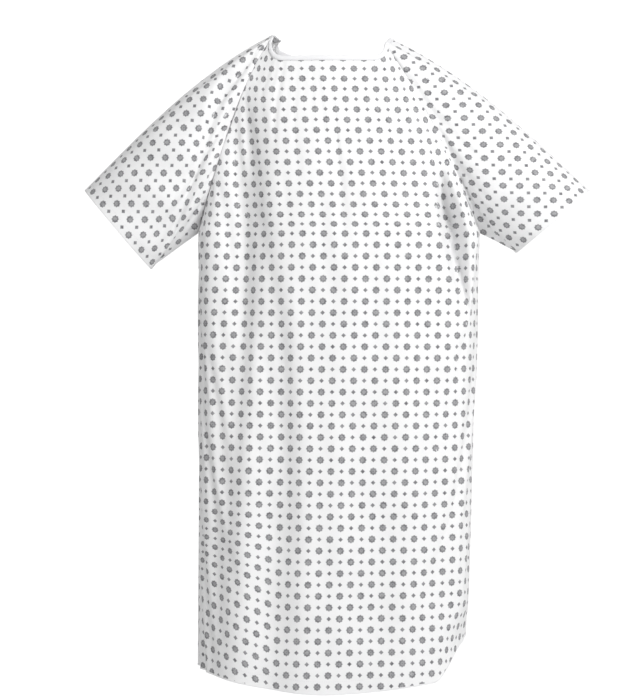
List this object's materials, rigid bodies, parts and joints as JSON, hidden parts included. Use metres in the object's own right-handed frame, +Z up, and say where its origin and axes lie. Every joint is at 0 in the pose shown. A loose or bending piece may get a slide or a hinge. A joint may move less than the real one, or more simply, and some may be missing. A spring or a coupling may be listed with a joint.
{
  "type": "patient gown",
  "caption": "Short-sleeved patient gown with raglan sleeves, a bound wide neck, and an open back closed by tape ties.",
  "frame": {"origin": "middle of the neck opening, level with the shoulder line at the neck", "axes": "+Z up, from the hem to the neck; -Y the way the wearer faces; +X to the wearer's left"},
  "size_m": [0.9452, 0.2936, 1.2453],
  "materials": {
    "gown_cloth": "matte",
    "binding_tape": "matte",
    "tie_tape": "matte",
    "seam_thread": "matte"
  },
  "bodies": {
    "gown": {"front_panel": "gown_cloth", "neck_binding": "binding_tape", "front_hem": "gown_cloth", "back_side_left": "gown_cloth", "back_side_right": "gown_cloth", "sleeve_left": "gown_cloth", "sleeve_right": "gown_cloth", "back_side_hem_left": "gown_cloth", "back_side_hem_right": "gown_cloth", "sleeve_hem_left": "gown_cloth", "sleeve_hem_right": "gown_cloth", "front_raglan_seam_left": "seam_thread", "front_raglan_seam_right": "seam_thread", "back_raglan_seam_left": "seam_thread", "back_raglan_seam_right": "seam_thread", "side_seam_left": "seam_thread", "side_seam_right": "seam_thread", "underarm_seam_left": "seam_thread", "underarm_seam_right": "seam_thread"},
    "flap_left": {"back_flap_left": "gown_cloth", "back_flap_hem_left": "gown_cloth", "back_facing_left": "gown_cloth", "neck_binding_end_left": "binding_tape", "tie_tacks_left": "seam_thread"},
    "neck_tie_left": {"neck_tie_left": "tie_tape"},
    "waist_tie_left": {"waist_tie_left": "tie_tape"},
    "flap_right": {"back_flap_right": "gown_cloth", "back_flap_hem_right": "gown_cloth", "back_facing_right": "gown_cloth", "neck_binding_end_right": "binding_tape", "tie_tacks_right": "seam_thread"},
    "neck_tie_right": {"neck_tie_right": "tie_tape"},
    "waist_tie_right": {"waist_tie_right": "tie_tape"}
  },
  "joints": [
    {"name": "flap_left_swing", "type": "hinge", "parent": "gown", "child": "flap_left", "pos_m": [0.084, 0.062, 0], "axis": [0.1041, 0.0529, -0.9932], "range_deg": [0, 110]},
    {"name": "neck_tie_left_swing", "type": "hinge", "parent": "flap_left", "child": "neck_tie_left", "pos_m": [0.0145, 0.08125, -0.045], "axis": [1, 0, 0], "range_deg": [0, 110]},
    {"name": "waist_tie_left_swing", "type": "hinge", "parent": "flap_left", "child": "waist_tie_left", "pos_m": [0.0145, 0.1003, -0.395], "axis": [1, 0, 0], "range_deg": [0, 110]},
    {"name": "flap_right_swing", "type": "hinge", "parent": "gown", "child": "flap_right", "pos_m": [-0.084, 0.062, 0], "axis": [0.1041, -0.0529, 0.9932], "range_deg": [0, 110]},
    {"name": "neck_tie_right_swing", "type": "hinge", "parent": "flap_right", "child": "neck_tie_right", "pos_m": [-0.0145, 0.08125, -0.045], "axis": [1, 0, 0], "range_deg": [0, 110]},
    {"name": "waist_tie_right_swing", "type": "hinge", "parent": "flap_right", "child": "waist_tie_right", "pos_m": [-0.0145, 0.1003, -0.395], "axis": [1, 0, 0], "range_deg": [0, 110]}
  ]
}
